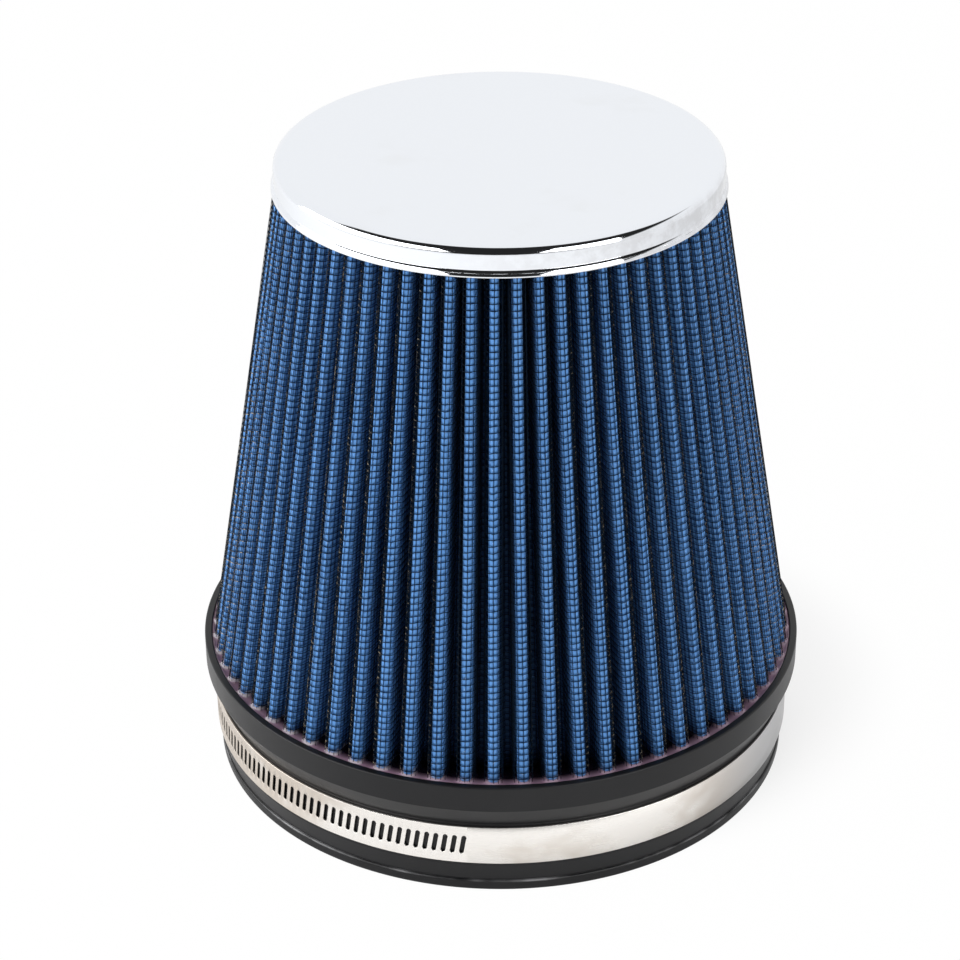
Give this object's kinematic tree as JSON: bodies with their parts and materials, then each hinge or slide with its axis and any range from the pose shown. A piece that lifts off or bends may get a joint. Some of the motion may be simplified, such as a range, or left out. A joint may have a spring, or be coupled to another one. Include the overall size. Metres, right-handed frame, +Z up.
{
  "type": "cone air filter",
  "caption": "Cone air filter for an engine intake: blue pleated gauze under wire screen, closed chromed cap, rubber neck with a slotted worm-drive band clamp.",
  "frame": {"origin": "on the filter's axis, at the foot of the rubber neck", "axes": "+Z up along the filter's axis towards the cap, -Y towards the front of the picture"},
  "size_m": [0.1826, 0.1826, 0.1932],
  "materials": {
    "rubber": "satin moulded black rubber",
    "resin": "glossy pink-purple cast resin",
    "gauze": "blue oiled cotton gauze under black wire screen",
    "chrome": "bright chrome plate",
    "stainless": "bright rolled stainless strip",
    "plated_steel": "zinc plated steel"
  },
  "bodies": {
    "filter": {"rubber_base": "rubber", "base_potting": "resin", "pleated_media": "gauze", "top_potting": "resin", "top_cap": "chrome", "clamp_band": "stainless", "clamp_housing": "stainless"},
    "screw": {"clamp_screw": "plated_steel"}
  },
  "joints": [
    {"name": "screw_turn", "type": "hinge", "parent": "filter", "child": "screw", "pos_m": [-0.08213, 0.04742, 0.0168], "axis": [0.5, 0.866, 0], "continuous": true}
  ]
}
